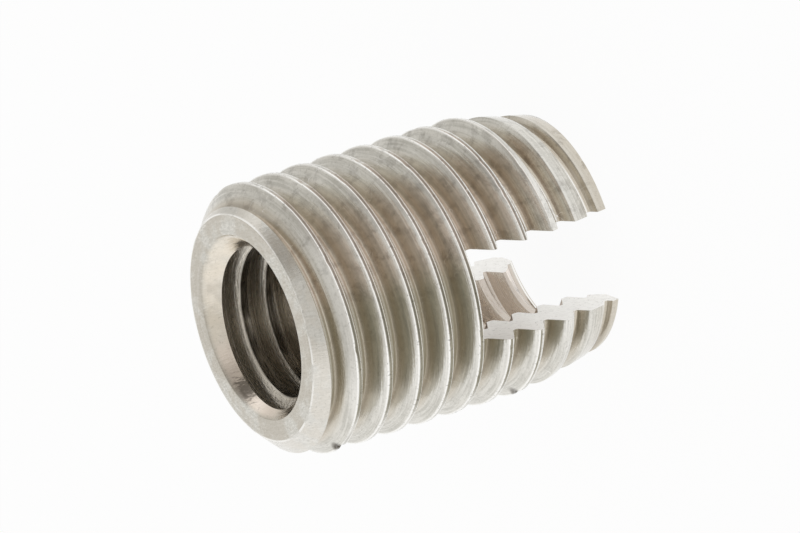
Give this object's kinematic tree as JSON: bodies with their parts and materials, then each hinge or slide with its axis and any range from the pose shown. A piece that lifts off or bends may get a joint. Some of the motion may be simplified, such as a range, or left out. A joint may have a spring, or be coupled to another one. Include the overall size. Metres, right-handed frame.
{
  "type": "threaded insert",
  "caption": "Self-tapping threaded insert: a steel bush with an outer thread, an inner screw thread and a cross slot that forms the cutting edges.",
  "frame": {"origin": "centre of the slotted end, on the surface that the insert stands on", "axes": "+Z along the axis from the slotted cutting end to the plain countersunk end; the cross slot runs along X"},
  "size_m": [0.012, 0.012, 0.015],
  "materials": {
    "insert": "satin machined stainless steel"
  },
  "bodies": {
    "root": {"insert": "insert"}
  },
  "joints": []
}
